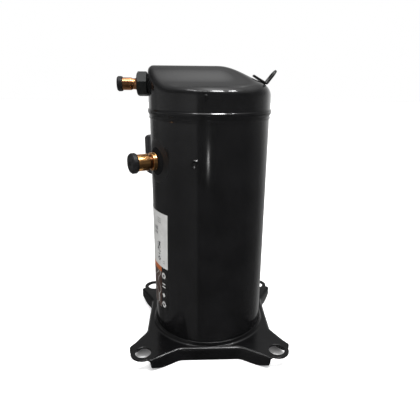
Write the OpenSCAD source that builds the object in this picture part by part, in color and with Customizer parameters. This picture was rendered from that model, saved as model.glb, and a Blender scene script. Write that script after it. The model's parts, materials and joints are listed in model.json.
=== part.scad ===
// Hermetic scroll compressor, standing upright on a pressed base plate.
// Z runs up the shaft. Z = 0 is the underside of the four mounting ears.
// The discharge fitting points along -X.

/* [Base plate] */
// Distance between mounting hole centres, along X and along Y
hole_pitch = 190.5; // [188:0.5:193]
// Diameter of the mounting holes
hole_d = 22; // [18:0.5:23]
// Radius of each mounting ear
ear_r = 17.5; // [16:0.5:18.5]
// Thickness of the base plate sheet
base_t = 3; // [2.5:0.25:3.5]
// Depth of the turned-down flanges below the ears
flange_depth = 17; // [15:0.5:19]
// Distance from the axis to the front and back flanges
flange_y = 90; // [89.5:0.5:92]
// Distance from the axis to the left and right flanges
flange_x = 95; // [93:0.5:96]

/* [Shell] */
// Outer diameter of the shell tube
shell_d = 165; // [164.5:0.5:166]
// Wall thickness of the shell, its end caps and the partition
wall = 3; // [2.5:0.25:3]
// Height of the shell tube's upper edge
shell_top = 330; // [329:0.5:331]
// Outer diameter of the top cap
cap_d = 170.4; // [170.4:0.2:171.2]
// Height of the top cap's lower edge
cap_bottom = 318; // [316:1:322]
// Height of the top cap's shoulder
shoulder_z = 362; // [360:1:364]
// Height of the crest of the raised hump on the top cap
crest_z = 387; // [384:1:390]

/* [Fittings] */
// Height of the discharge fitting's axis
discharge_z = 363; // [361:0.5:364]
// Outer diameter of the discharge stub
discharge_d = 16.4; // [15.6:0.2:17]
// Bore of the discharge stub, for half-inch pipe
discharge_bore = 12.8; // [12:0.1:13]
// Height of the suction fitting's axis
suction_z = 265; // [262:0.5:268]
// Direction of the suction fitting, anticlockwise from +X
suction_az = 208; // [204:1:212]
// Outer diameter of the suction stub
suction_d = 22.4; // [21.8:0.2:23]
// Bore of the suction stub, for three-quarter-inch pipe
suction_bore = 19.2; // [18.4:0.1:19.4]

/* [Terminal box] */
// Direction of the terminal box, anticlockwise from +X
box_az = 125; // [122:1:128]
// Height of the middle of the terminal box
box_z = 254; // [252:1:256]
// Width of the terminal cover
box_w = 82; // [78:1:86]
// Height of the terminal cover
box_h = 62; // [60:1:66]

/* [Motor] */
// Radius of the stator bore
stator_bore_r = 40; // [39.8:0.1:40.5]
// Length of the stator and rotor cores
core_len = 90; // [84:2:92]
// Height of the bottom of both cores
core_z = 70; // [69:1:71]

/* [Scroll set] */
// Distance from the shaft axis to the crankpin axis
orbit_r = 4.5; // [4.3:0.05:4.5]
// Radius of the circle that both scroll wraps unwind from
involute_r = 2.578; // [2.57:0.002:2.58]
// Thickness of the scroll wraps
wrap_t = 3.2; // [3:0.05:3.25]
// Height of the scroll wraps
wrap_h = 26; // [24:0.5:26]

/* [Hidden] */
$fn = 96;
gap = 0.05;
shell_r = shell_d / 2;
shell_ri = shell_r - wall;
cap_r = cap_d / 2;
cap_flat_x = -81.6;
box_back = shell_r + 5.5;
box_front = 118;
cover_t = 2.4;
cable_x = 99;
cable_y = -20;
cable_r = 11;
cover_edge = 3;
beyond = 400;
cap_sheet = 2.6;
plug_weld_az = [15, 165, 255];
plug_weld_z = 269;
plug_weld_r = 5;
terminal_hole_r = 19.2;
suction_hole_r = 12.6;
sump_low = -12;
sump_top = 16;
partition_low = 322.5;
partition_t = 6;
label_from = 160;
label_to = 225;
label_low = 43;
label_high = 194;
pipe_r = 7;
pipe_bore_r = 5.8;
discharge_end = 122;
neck_end = 104;
suction_end = 116;
suction_neck_r = 10.2;
suction_core_r = 8.8;
socket_r = 12;
socket_inner_r = 11.25;
ring_half_w = 34;
ring_half_h = 25;
pin_circle_r = 9;
bead_r = 3.4;
conductor_r = 1.6;
cup_r = 19.1;
cup_floor = 76.5;
cup_rim = 86.5;
plug_back = 88.2;
hub_r = 20;
hub_low = 14;
hub_high = 44;
arm_low = 24;
lower_bush_r = 13.5;
oil_bore_r = 2.5;
shaft_r = 14;
turns_len_up = 28;
turns_len_down = 25;
end_ring_h = 8;
weight_z = 9;
weight_h = 15;
housing_low = 196;
rim_low = 230;
rim_high = 246;
pocket_r = 27.2;
main_bush_r = 19;
crank_z = 229;
drive_bush_r = 15;
hub_bore_r = 17;
hub_outer_r = 21;
key_r = 51.5;
post_hole_r = 4;
post_outer_r = 7;
fixed_top = 304;
foot_low = 268;
seal_ro = 44;
seal_ri = 20;
seal_low = 308;
core_top = core_z + core_len;
plate_z = 252.2;
plate_t = 9.8;
wrap_z = plate_z + plate_t;
fixed_z = wrap_z + wrap_h + 0.2;
post_r = 71.5;
post_az = 75;
pin_r = 10;
journal_r = 16;
lower_journal_r = 11;

// ---------- helpers ----------

// Hollow cylinder from z0 to z1
module tube(ro, ri, z0, z1) {
    translate([0, 0, z0])
        difference() {
            cylinder(r = ro, h = z1 - z0);
            translate([0, 0, -1])
                cylinder(r = ri, h = z1 - z0 + 2);
        }
}

// Hollow cylinder whose axis points outwards from the shaft, from radius a to radius b
module radial_tube(az, z, ro, ri, a, b) {
    along(az, z)
        tube(ro, ri, a, b);
}

// Places a child that is built along +Z so that it points outwards at height z
module along(az, z) {
    translate([0, 0, z])
        rotate([0, 0, az])
            rotate([0, 90, 0])
                children();
}

// Wedge of the plane between two directions, out to radius r
module sector(r, a0, a1, steps = 8) {
    polygon(concat([[0, 0]],
        [for (i = [0:steps]) r / cos((a1 - a0) / steps / 2)
            * [cos(a0 + (a1 - a0) * i / steps), sin(a0 + (a1 - a0) * i / steps)]]));
}

// Part of a ring between two directions
module arc_block(ro, ri, a0, a1, z0, z1) {
    intersection() {
        tube(ro, ri, z0, z1);
        translate([0, 0, z0 - 1])
            linear_extrude(height = z1 - z0 + 2)
                sector(ro * 1.2, a0, a1);
    }
}

// ---------- base ----------

// Half of one side's outline: middle of the recess, start of the slant, tip beside the ear
flange_wall = base_t * 1.12;
flange_full = 65;
collar_low = -2;
collar_high = 7;
slant_start = 43.5;
slant_tip = 83.5;
tip_y = flange_y + 24;
tip_x = flange_x + 22;

function side_y(s) = [[-slant_tip, s * tip_y], [-slant_start, s * flange_y],
                      [slant_start, s * flange_y], [slant_tip, s * tip_y]];
function side_x(s) = [[s * tip_x, -slant_tip], [s * flange_x, -slant_start],
                      [s * flange_x, slant_start], [s * tip_x, slant_tip]];

module base_outline() {
    difference() {
        union() {
            polygon(concat(side_y(-1), side_x(1), [for (i = [3:-1:0]) side_y(1)[i]],
                           [for (i = [3:-1:0]) side_x(-1)[i]]));
            for (sx = [-1, 1], sy = [-1, 1])
                translate([sx, sy] * hole_pitch / 2)
                    circle(r = ear_r);
        }
        for (sx = [-1, 1], sy = [-1, 1]) {
            translate([sx, sy] * hole_pitch / 2)
                circle(d = hole_d);
            intersection() {
                translate([sx, sy] * (hole_pitch / 2 + 15))
                    square(30, center = true);
                translate([sx, sy] * hole_pitch / 2)
                    difference() {
                        circle(r = 60);
                        circle(r = ear_r);
                    }
            }
        }
    }
}

// Turned-down wall that follows one side of the outline
module flange(points, inward) {
    polygon(concat(points, [for (i = [3:-1:0]) points[i] + inward]));
}

// Side view of a flange, with its lower corners clipped
module flange_side() {
    polygon([[-slant_tip, base_t], [-slant_tip, 0], [-slant_tip + 3, -flange_depth + 8],
             [-flange_full, -flange_depth], [flange_full, -flange_depth], [slant_tip - 3, -flange_depth + 8],
             [slant_tip, 0], [slant_tip, base_t]]);
}

module base_plate() {
    color("#101012") {
        difference() {
            linear_extrude(height = base_t)
                base_outline();
            translate([0, 0, -1])
                cylinder(r = shell_r + 1, h = base_t + 2);
        }
        for (s = [-1, 1]) {
            intersection() {
                translate([0, 0, -flange_depth])
                    linear_extrude(height = flange_depth + 0.5)
                        flange(side_y(s), [0, -s * flange_wall]);
                rotate([90, 0, 0])
                    translate([0, 0, -130])
                        linear_extrude(height = 260)
                            flange_side();
            }
            intersection() {
                translate([0, 0, -flange_depth])
                    linear_extrude(height = flange_depth + 0.5)
                        flange(side_x(s), [-s * flange_wall, 0]);
                rotate([90, 0, 90])
                    translate([0, 0, -130])
                        linear_extrude(height = 260)
                            flange_side();
            }
        }
        base_collar();
    }
}

// Upturned collar that the shell is welded into
module base_collar() {
    rotate_extrude()
        polygon([[shell_r, collar_low], [shell_r, collar_high], [shell_r + 1.5, collar_high],
                 [shell_r + 3, collar_high - 2.2], [shell_r + 5.5, base_t], [shell_r + 5.5, 0.5],
                 [shell_r + 3, collar_low]]);
}

// ---------- shell ----------

// Half section of a dished cup: radius r, floor at z0, rim at z1
module dish(r, z0, z1) {
    corner = 14;
    polygon(concat([[0, z0]],
        [for (a = [-90:10:0]) [r - corner + corner * cos(a), z0 + corner + corner * sin(a)]],
        [[r, z1], [0, z1]]));
}

module bottom_cap() {
    color("#141416")
        rotate_extrude()
            difference() {
                dish(shell_ri - gap, sump_low, sump_top);
                dish(shell_ri - wall, sump_low + wall, sump_top + 1);
            }
}

module shell_tube() {
    color("#0f0f11")
        difference() {
            union() {
                tube(shell_r, shell_ri, -1, shell_top);
                for (a = plug_weld_az)
                    intersection() {
                        radial_tube(a, plug_weld_z, plug_weld_r, 0.01, shell_ri + 1, shell_r + 0.6);
                        cylinder(r = shell_r + 0.6, h = beyond);
                    }
            }
            along(box_az, box_z)
                cylinder(r = terminal_hole_r, h = beyond);
            along(suction_az, suction_z)
                cylinder(r = suction_hole_r, h = beyond);
        }
}

// Smooth step of the cap's hump: 1 at the middle, 0 at t = 1
function bump(t) = 0.5 + 0.5 * cos(180 * min(1, max(0, t)));

hump_half = 66;
hump_x0 = 10;
hump_len = 86;
hump_r = 81.5;
hump_shift = -2;

// Round body with a rounded upper edge, of radius r and height h
module cap_round(r, h, edge) {
    rotate_extrude()
        polygon(concat([[0, cap_bottom - 1], [r, cap_bottom - 1], [r - 0.6, cap_bottom + 20]],
            [for (a = [0:15:90]) [r - 1.2 - edge + edge * cos(a), h - edge + edge * sin(a)]],
            [[0, h]]));
}

// Outer form of the top cap, inset by d all round: a low round body and the hump on it
module cap_form(d) {
    top = crest_z - d;
    low = shoulder_z - d;
    cap_round(cap_r - d, low, 10 - d);
    intersection() {
        translate([hump_shift, 0, 0])
            cap_round(hump_r - d, top, 10 - d);
        rotate([90, 0, 90])
            translate([0, 0, -100])
                linear_extrude(height = 200)
                    polygon(concat([[-90, cap_bottom], [-90, low]],
                        [for (y = [-hump_half:6:hump_half])
                            [y, low + (top - low) * bump(abs(y) / hump_half)]],
                        [[90, low], [90, cap_bottom]]));
        rotate([90, 0, 0])
            translate([0, 0, -100])
                linear_extrude(height = 200)
                    polygon(concat([[cap_flat_x + d, cap_bottom], [cap_flat_x + d, top]],
                        [for (x = [hump_x0:6:hump_x0 + hump_len])
                            [x, low + (top - low) * bump((x - hump_x0) / hump_len)]],
                        [[100, low], [100, cap_bottom]]));
    }
}

module top_cap() {
    color("#121214")
        difference() {
            cap_form(0);
            cap_form(cap_sheet);
            translate([0, 0, cap_bottom - 2])
                cylinder(r = cap_r - cap_sheet, h = 20);
            translate([0, 0, cap_bottom - 2])
                cylinder(r = cap_r + 5, h = 2);
            translate([-92, 0, discharge_z])
                rotate([0, 90, 0])
                    cylinder(r = 10, h = 30);
            translate([-92, -30, cap_bottom + 24])
                cube([92 + cap_flat_x, 60, 80]);
        }
}

module partition_plate() {
    color("#5d5f62")
        difference() {
            rotate_extrude()
                polygon([[0, partition_low], [50, partition_low], [66, shell_top],
                         [cap_r - cap_sheet - 0.1, shell_top], [cap_r - cap_sheet - 0.1, shell_top + 4],
                         [64, shell_top + 4], [48, partition_low + partition_t],
                         [0, partition_low + partition_t]]);
            translate([0, 0, 300])
                cylinder(r = 12, h = 50);
        }
}

// ---------- lifting lug and label ----------

// Bent strip: a foot along the cap's slope and an upright leg with the lifting eye
lug_w = 22;
lug_t = 2.6;
lug_x = 76.5;
lug_z = 364.8;
foot_len = 21;
foot_slope = 31;
leg_len = 22;
leg_slope = 52;
eye_r = 6;

module lifting_lug() {
    color("#161616")
        difference() {
            union() {
                translate([lug_x, 0, lug_z])
                    rotate([90, 0, 0]) {
                        rotate([0, 0, 180 - foot_slope])
                            translate([0, -lug_t / 2, -lug_w / 2])
                                cube([foot_len, lug_t, lug_w]);
                        translate([0, 0, -lug_w / 2])
                            cylinder(d = lug_t, h = lug_w);
                    }
                lug_leg();
            }
            lug_frame()
                translate([0, 0, -5])
                    cylinder(r = eye_r, h = 10);
            cap_form(0);
        }
}

// Frame of the upright leg: X along the leg, Z along its normal, origin at the eye
module lug_frame() {
    translate([lug_x, 0, lug_z])
        rotate([0, -leg_slope, 0])
            translate([leg_len - lug_w / 2, 0, 0])
                children();
}

module lug_leg() {
    lug_frame()
        translate([0, 0, -lug_t / 2]) {
            cylinder(r = lug_w / 2, h = lug_t);
            translate([-(leg_len - lug_w / 2), -lug_w / 2, 0])
                cube([leg_len - lug_w / 2, lug_w, lug_t]);
        }
}

module rating_label() {
    color("#b9b8b4")
        arc_block(shell_r + 0.35, shell_r + gap, label_from, label_to, label_low, label_high);
}

// ---------- discharge fitting ----------

nut_r = 17;
nut_start = 84;
nut_end = 98;
nut_turn = 41.5;
fitting_start = 79;

module discharge_collar() {
    color("#141416")
        radial_tube(180, discharge_z, 9.9, pipe_r + gap, fitting_start, nut_start);
}

module discharge_nut() {
    color("#1a1a1c")
        along(180, discharge_z)
            difference() {
                intersection() {
                    rotate([0, 0, nut_turn])
                        cylinder(r = nut_r, h = beyond, $fn = 6);
                    rotate_extrude()
                        polygon([[0, nut_start], [nut_r - 1.2, nut_start], [nut_r + 0.3, nut_start + 1],
                                 [nut_r + 0.3, nut_end - 2.6], [nut_r - 2.8, nut_end], [0, nut_end]]);
                }
                cylinder(r = pipe_r + gap, h = beyond);
            }
}

module discharge_stub() {
    color("#b4642f")
        along(180, discharge_z)
            rotate_extrude()
                polygon([[pipe_bore_r, fitting_start], [pipe_r, fitting_start], [pipe_r, neck_end],
                         [discharge_d / 2, neck_end + 2], [discharge_d / 2, discharge_end],
                         [discharge_bore / 2, discharge_end], [discharge_bore / 2, neck_end + 2],
                         [pipe_bore_r, neck_end + 1]]);
}

module discharge_plug() {
    color("#151515")
        along(180, discharge_z)
            rotate_extrude()
                polygon([[discharge_d / 2 + gap, discharge_end - 4.5], [9, discharge_end - 4.8],
                         [9.8, discharge_end - 3], [9.8, discharge_end + 2], [9, discharge_end + 2.6],
                         [0, discharge_end + 2.6], [0, discharge_end + 0.1],
                         [discharge_d / 2 + gap, discharge_end + 0.1]]);
}

// ---------- suction fitting ----------

module suction_boss() {
    color("#131315")
        intersection() {
            along(suction_az, suction_z)
                difference() {
                    rotate_extrude()
                        polygon([[0, 79], [12.5, 79], [12.5, shell_ri], [18.5, shell_ri],
                                 [18, shell_r - 0.4], [14.2, shell_r + 2.4], [0, shell_r + 2.4]]);
                    cylinder(r = socket_inner_r + gap, h = beyond);
                }
            difference() {
                cylinder(r = shell_r + 3, h = beyond);
                difference() {
                    cylinder(r = shell_r, h = beyond);
                    along(suction_az, suction_z)
                        cylinder(r = 12.5, h = beyond);
                }
            }
        }
}

module suction_socket() {
    color("#b4642f")
        along(suction_az, suction_z)
            rotate_extrude()
                polygon([[suction_core_r, 76], [socket_inner_r, 76], [socket_inner_r, shell_r + 2.6],
                         [socket_r, shell_r + 3.6], [socket_r, shell_r + 8], [suction_neck_r, shell_r + 9.5],
                         [suction_neck_r, shell_r + 11.5], [suction_core_r, shell_r + 11.5]]);
}

module suction_stub() {
    color("#b4642f")
        along(suction_az, suction_z)
            rotate_extrude()
                polygon([[suction_core_r, shell_r + 11.5], [suction_neck_r, shell_r + 11.5],
                         [suction_d / 2, shell_r + 13], [suction_d / 2, suction_end],
                         [suction_bore / 2, suction_end], [suction_bore / 2, suction_end - 18],
                         [suction_core_r, suction_end - 19]]);
}

module suction_plug() {
    color("#151515")
        along(suction_az, suction_z)
            rotate_extrude()
                polygon([[suction_d / 2 + gap, suction_end - 6.5], [12.4, suction_end - 7],
                         [13.6, suction_end - 4.5], [13.6, suction_end + 1.6], [12.6, suction_end + 3],
                         [2.4, suction_end + 3], [1.6, suction_end + 1.6], [0, suction_end + 1.6],
                         [0, suction_end + 0.1], [suction_d / 2 + gap, suction_end + 0.1]]);
}

module suction_deflector() {
    color("#8b8d90")
        arc_block(72.5, 71.3, suction_az - 13, suction_az + 13, 246, 292);
}

// ---------- electrical terminal ----------

// Places a child in the terminal box's frame: X outwards, Y across, Z up
module at_box() {
    translate([0, 0, box_z])
        rotate([0, 0, box_az])
            children();
}

earth_y = 25;
earth_z = -16;

module terminal_ring() {
    color("#1c1c1e")
        difference() {
            at_box()
                translate([70, -ring_half_w, -ring_half_h])
                    cube([box_back - 70, 2 * ring_half_w, 2 * ring_half_h]);
            cylinder(r = shell_r, h = beyond);
            along(box_az, box_z)
                cylinder(r = 22, h = beyond);
            at_box()
                translate([70, earth_y, earth_z])
                    rotate([0, 90, 0])
                        cylinder(r = 1.9 + gap, h = 40);
        }
}

module terminal_cup() {
    color("#9a9c9e")
        difference() {
            along(box_az, box_z)
                rotate_extrude()
                    polygon([[0, cup_floor], [17, cup_floor], [cup_r, cup_floor + 1.5], [cup_r, cup_rim - 2],
                             [cup_r + 2.5, cup_rim - 1.7], [cup_r + 2.5, cup_rim], [17, cup_rim],
                             [15, cup_floor + 3], [0, cup_floor + 3]]);
            pin_places()
                cylinder(r = bead_r, h = beyond);
        }
}

// The three conductor positions, at the corners of a triangle
module pin_places() {
    along(box_az, box_z)
        for (a = [0, 120, 240])
            rotate([0, 0, a])
                translate([pin_circle_r, 0, 0])
                    children();
}

module terminal_beads() {
    color("#cfd6d8")
        pin_places()
            tube(bead_r, conductor_r, cup_floor - 0.5, cup_floor + 5.5);
}

module terminal_pins() {
    color("#c8b27a")
        pin_places()
            translate([0, 0, 71])
                cylinder(r = conductor_r, h = 29);
}

module terminal_gasket() {
    color("#202020")
        at_box()
            difference() {
                translate([box_back, -ring_half_w - 2, -ring_half_h - 2])
                    cube([1.5, 2 * ring_half_w + 4, 2 * ring_half_h + 4]);
                translate([box_back - 1, -30, -22])
                    cube([4, 60, 44]);
            }
}

module terminal_plug() {
    color("#1b1b1b")
        along(box_az, box_z)
            difference() {
                translate([0, 0, plug_back])
                    cylinder(r = 16, h = 15);
                translate([0, 0, plug_back - 8.2])
                    for (a = [0, 120, 240])
                        rotate([0, 0, a])
                            translate([pin_circle_r, 0, 0])
                                cylinder(r = conductor_r + 0.15, h = 20.5);
            }
}

module terminal_cover() {
    color("#161616")
        difference() {
            at_box()
                difference() {
                    cover_block(50, box_front, box_w, box_h);
                    translate([49, cover_t - box_w / 2, cover_t - box_h / 2])
                        cube([box_front - cover_t - 49, box_w - 2 * cover_t, box_h - 2 * cover_t]);
                    translate([cable_x, cable_y, -box_h])
                        cylinder(r = cable_r, h = box_h);
                }
            cylinder(r = shell_r + 0.8, h = beyond);
        }
}

// Block with an inclined outer edge all round
module cover_block(x0, x1, w, h) {
    slope = cover_edge;
    intersection() {
        rotate([90, 0, 0])
            translate([0, 0, -w / 2])
                linear_extrude(height = w)
                    polygon([[x0, -h / 2], [x1 - slope, -h / 2], [x1, -h / 2 + slope],
                             [x1, h / 2 - slope], [x1 - slope, h / 2], [x0, h / 2]]);
        translate([0, 0, -h / 2])
            linear_extrude(height = h)
                polygon([[x0, -w / 2], [x1 - slope, -w / 2], [x1, -w / 2 + slope],
                         [x1, w / 2 - slope], [x1 - slope, w / 2], [x0, w / 2]]);
    }
}

module earth_screw() {
    color("#3f8f4a")
        at_box()
            translate([box_back, earth_y, earth_z])
                rotate([0, 90, 0])
                    difference() {
                        translate([0, 0, -6])
                            union() {
                                cylinder(r = 1.9, h = 6);
                                translate([0, 0, 6])
                                    cylinder(r = 3.6, h = 2.6);
                            }
                        translate([-5, -0.5, 1.6])
                            cube([10, 1, 2]);
                    }
}

module motor_leads() {
    lead_r = 1.8;
    lead_x = 65.6;
    color("#c9b18a")
        for (p = [[-7.8, 4.5], [0, -9], [7.8, 4.5]])
            at_box()
                translate([lead_x, p[0], p[1]]) {
                    translate([0, 0, core_top + turns_len_up - box_z - p[1]])
                        cylinder(r = lead_r, h = box_z + p[1] - core_top - turns_len_up);
                    sphere(r = lead_r, $fn = 32);
                    rotate([0, 90, 0])
                        cylinder(r = lead_r, h = 70.9 - lead_x);
                }
}

module motor_protector() {
    color("#b8b8ba")
        rotate([0, 0, 300])
            translate([57, 0, core_top + turns_len_up]) {
                cylinder(r = 8, h = 5);
                cylinder(r = 5, h = 6.5);
            }
}

// ---------- lower bearing ----------

module lower_bracket() {
    color("#6b6d70")
        difference() {
            union() {
                tube(hub_r, 8, hub_low, hub_high);
                tube(shell_ri - gap, 72, arm_low, arm_low + 10);
                for (a = [0:90:270])
                    rotate([0, 0, a])
                        translate([15, -8, arm_low])
                            cube([60, 16, 8]);
            }
            translate([0, 0, 18])
                cylinder(r = lower_bush_r, h = 40);
        }
}

module lower_bush() {
    color("#a98a52")
        tube(lower_bush_r, lower_journal_r + gap, 20.5, hub_high);
}

module thrust_washer() {
    color("#8f9194")
        tube(lower_bush_r - 0.2, 8, 18, 20);
}

module oil_magnet() {
    color("#3c3c3e")
        translate([40, 0, -9])
            tube(12, 4, 0, 5);
}

module oil_pickup() {
    color("#c2a15a")
        rotate_extrude()
            polygon([[oil_bore_r, -4], [4, -4], [6.5, 4], [6.5, 20], [oil_bore_r, 20]]);
}

// ---------- motor ----------

module stator_core() {
    color("#7a7c80")
        difference() {
            tube(shell_ri - gap, stator_bore_r, core_z, core_top);
            for (a = [0:60:300])
                rotate([0, 0, a])
                    translate([shell_ri - 2, -14, core_z - 1])
                        cube([10, 28, core_len + 2]);
            for (a = [0:15:345])
                rotate([0, 0, a + 7.5])
                    translate([46, -2.4, core_z - 1])
                        cube([16, 4.8, core_len + 2]);
        }
}

// Ring of end turns with rounded shoulders
module end_turns(z0, z1) {
    r = 5;
    rotate_extrude()
        polygon(concat([[46, z0], [46, z1]],
                       [for (a = [90:-15:0]) [68 - r + r * cos(a), z1 - r + r * sin(a)]],
                       [for (a = [0:-15:-90]) [68 - r + r * cos(a), z0 + r + r * sin(a)]]));
}

module upper_winding() {
    color("#a5612e")
        end_turns(core_top, core_top + turns_len_up);
}

module lower_winding() {
    color("#a5612e")
        end_turns(core_z - turns_len_down, core_z);
}

module rotor_core() {
    color("#83858a")
        tube(stator_bore_r - 0.5, shaft_r, core_z, core_top);
}

module rotor_end_rings() {
    color("#b9bcc0") {
        tube(38, 24, core_z - end_ring_h, core_z);
        tube(38, 24, core_top, core_top + end_ring_h);
    }
}

module lower_counterweight() {
    color("#5a5c60")
        arc_block(38, 24, -85, 85, core_z - end_ring_h - 10, core_z - end_ring_h);
}

module upper_counterweight() {
    color("#5a5c60") {
        tube(22, shaft_r + gap, core_top + weight_z, core_top + weight_z + weight_h);
        arc_block(43, 21, 95, 265, core_top + weight_z, core_top + weight_z + weight_h);
    }
}

// ---------- main bearing and shaft ----------

module crankshaft() {
    color("#aeb1b5")
        difference() {
            union() {
                translate([0, 0, 20])
                    cylinder(r = lower_journal_r, h = 26);
                translate([0, 0, 46])
                    cylinder(r = shaft_r, h = housing_low - 50);
                translate([0, 0, housing_low - 4])
                    cylinder(r = journal_r, h = crank_z - housing_low + 4);
                translate([orbit_r, 0, crank_z])
                    cylinder(r = pin_r, h = 20);
            }
            translate([0, 0, 10])
                cylinder(r = oil_bore_r, h = 250);
        }
}

module main_housing() {
    color("#75777b")
        difference() {
            union() {
                translate([0, 0, housing_low])
                    cylinder(r = 28, h = 40);
                rotate_extrude()
                    polygon([[20, rim_low - 8], [34, rim_low - 8], [52, rim_low], [shell_ri - gap, rim_low],
                             [shell_ri - gap, rim_high], [42, rim_high],
                             [42, plate_z - 0.1], [20, plate_z - 0.1]]);
                for (i = [0:3])
                    rotate([0, 0, post_az + 90 * i])
                        translate([post_r, 0, foot_low - 28])
                            cylinder(r = post_outer_r, h = 28);
            }
            translate([0, 0, housing_low - 6])
                cylinder(r = main_bush_r, h = 60);
            translate([0, 0, crank_z - 1])
                cylinder(r = pocket_r, h = 40);
            for (i = [0:3])
                rotate([0, 0, post_az + 90 * i])
                    translate([post_r, 0, rim_high - 2])
                        cylinder(r = post_hole_r, h = 40);
            for (s = [-1, 1])
                translate([s * key_r - 12, -4.1, 241])
                    cube([24, 8.2, 10]);
            for (a = [30, 210, 300])
                rotate([0, 0, a])
                    translate([68, 0, 220])
                        cylinder(r = 5, h = 40);
            translate([0, 0, 220])
                linear_extrude(height = 40)
                    difference() {
                        sector(90, box_az - 18, box_az + 18);
                        circle(r = 62.5);
                    }
        }
}

module main_bush() {
    color("#a98a52")
        tube(main_bush_r, journal_r + gap, housing_low + 1, crank_z - 1.5);
}

module drive_bush() {
    color("#b5b8bb")
        translate([orbit_r, 0, 0])
            tube(drive_bush_r, pin_r + gap, crank_z + 1, crank_z + 20);
}

// ---------- scroll set ----------

// Point on an involute wall: phi is the unwinding angle, off the wall's offset angle
function involute(phi, off) = involute_r * [cos(phi) + (phi + off) * PI / 180 * sin(phi),
                                           sin(phi) - (phi + off) * PI / 180 * cos(phi)];
half_angle = wrap_t / (2 * involute_r) * 180 / PI;

module wrap(phi_start, phi_end, h) {
    step = 6;
    linear_extrude(height = h)
        polygon(concat([for (p = [phi_start:step:phi_end]) involute(p, half_angle)],
                       [for (p = [phi_end:-step:phi_start]) involute(p, -half_angle)]));
}

module orbiting_scroll() {
    color("#9b9da1")
        translate([orbit_r, 0, 0])
            difference() {
                union() {
                    translate([0, 0, plate_z])
                        cylinder(r = 58, h = plate_t);
                    translate([0, 0, wrap_z - 0.01])
                        wrap(108, 1080, wrap_h);
                    translate([0, 0, crank_z + 1.5])
                        cylinder(r = hub_outer_r, h = plate_z - 230);
                }
                translate([0, 0, plate_z - 32.2])
                    cylinder(r = hub_bore_r, h = 32.2);
                for (s = [-1, 1])
                    translate([-13.5, s * 51 - 11, plate_z - 1])
                        cube([27, 22, 7]);
            }
}

module orbiting_bush() {
    color("#a98a52")
        translate([orbit_r, 0, 0])
            tube(hub_bore_r, drive_bush_r + gap, crank_z + 2, plate_z - 1.7);
}

module oldham_ring() {
    color("#8d9094")
        translate([orbit_r, 0, 0]) {
            tube(56, 47, 246.3, 251.6);
            for (s = [-1, 1]) {
                translate([s * key_r - 6, -4, 241.5])
                    cube([10, 8, 6]);
                translate([-4, s * key_r - 4.5, 250])
                    cube([8, 9, 7.4]);
            }
        }
}

module fixed_scroll() {
    color("#7d7f83")
        difference() {
            union() {
                difference() {
                    union() {
                        translate([0, 0, wrap_z + 0.3])
                            cylinder(r = 63, h = fixed_top - wrap_z - 0.3);
                        for (i = [0:3])
                            rotate([0, 0, post_az + 90 * i])
                                translate([0, -8, foot_low])
                                    cube([post_r, 16, fixed_top - foot_low]);
                        for (i = [0:3])
                            rotate([0, 0, post_az + 90 * i])
                                translate([post_r, 0, foot_low])
                                    cylinder(r = 7.8, h = fixed_top - foot_low);
                    }
                    translate([0, 0, wrap_z])
                        cylinder(r = 55, h = fixed_z - wrap_z);
                }
                intersection() {
                    translate([0, 0, wrap_z + 0.3])
                        rotate([0, 0, 180])
                            wrap(108, 1230, fixed_z - wrap_z);
                    cylinder(r = 58, h = beyond);
                }
                tube(48, seal_ro, fixed_top - 1, fixed_top + 12);
                translate([0, 0, fixed_top - 1])
                    cylinder(r = seal_ri, h = 11);
            }
            translate([0, 0, 280])
                cylinder(r = 5, h = 60);
            for (i = [0:3])
                rotate([0, 0, post_az + 90 * i])
                    translate([post_r, 0, 260])
                        cylinder(r = 4.5, h = 60);
            along(suction_az, 275)
                translate([-9, -11, 50])
                    cube([18, 22, 30]);
        }
}

module scroll_bolts() {
    color("#2d2d30")
        for (i = [0:3])
            rotate([0, 0, post_az + 90 * i])
                translate([post_r, 0, 0])
                    difference() {
                        union() {
                            translate([0, 0, rim_high])
                                cylinder(r = post_hole_r, h = fixed_top - rim_high);
                            translate([0, 0, fixed_top])
                                cylinder(r = 6.5, h = 8);
                        }
                        translate([0, 0, fixed_top + 4])
                            cylinder(r = 3.4, h = 6, $fn = 6);
                    }
}

module relief_valve() {
    color("#c1a45c")
        rotate([0, 0, 30])
            translate([55, 0, fixed_top])
                difference() {
                    union() {
                        cylinder(r = 5.4, h = 5, $fn = 6);
                        cylinder(r = 3.8, h = 9);
                    }
                    translate([0, 0, 2])
                        cylinder(r = 1.5, h = 10);
                }
}

module floating_seal() {
    color("#9fa2a6")
        difference() {
            tube(seal_ro - gap, seal_ri + gap, seal_low, seal_low + 12.8);
            tube(seal_ro - 4, seal_ri + 4, seal_low - 1, seal_low + 3);
        }
}

module valve_disc() {
    color("#6f7276")
        translate([0, 0, 314.1])
            cylinder(r = 9, h = 1);
}

module valve_guard() {
    color("#a0a3a7")
        difference() {
            union() {
                tube(13, 9.6, 314, 320);
                translate([0, 0, 318.5])
                    cylinder(r = 13, h = 2);
            }
            for (a = [0:60:300])
                rotate([0, 0, a])
                    translate([0, -2, 314.5])
                        cube([20, 4, 3.5]);
            for (a = [0:90:270])
                rotate([0, 0, a])
                    translate([5, 0, 310])
                        cylinder(r = 2, h = 20);
        }
}

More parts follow.
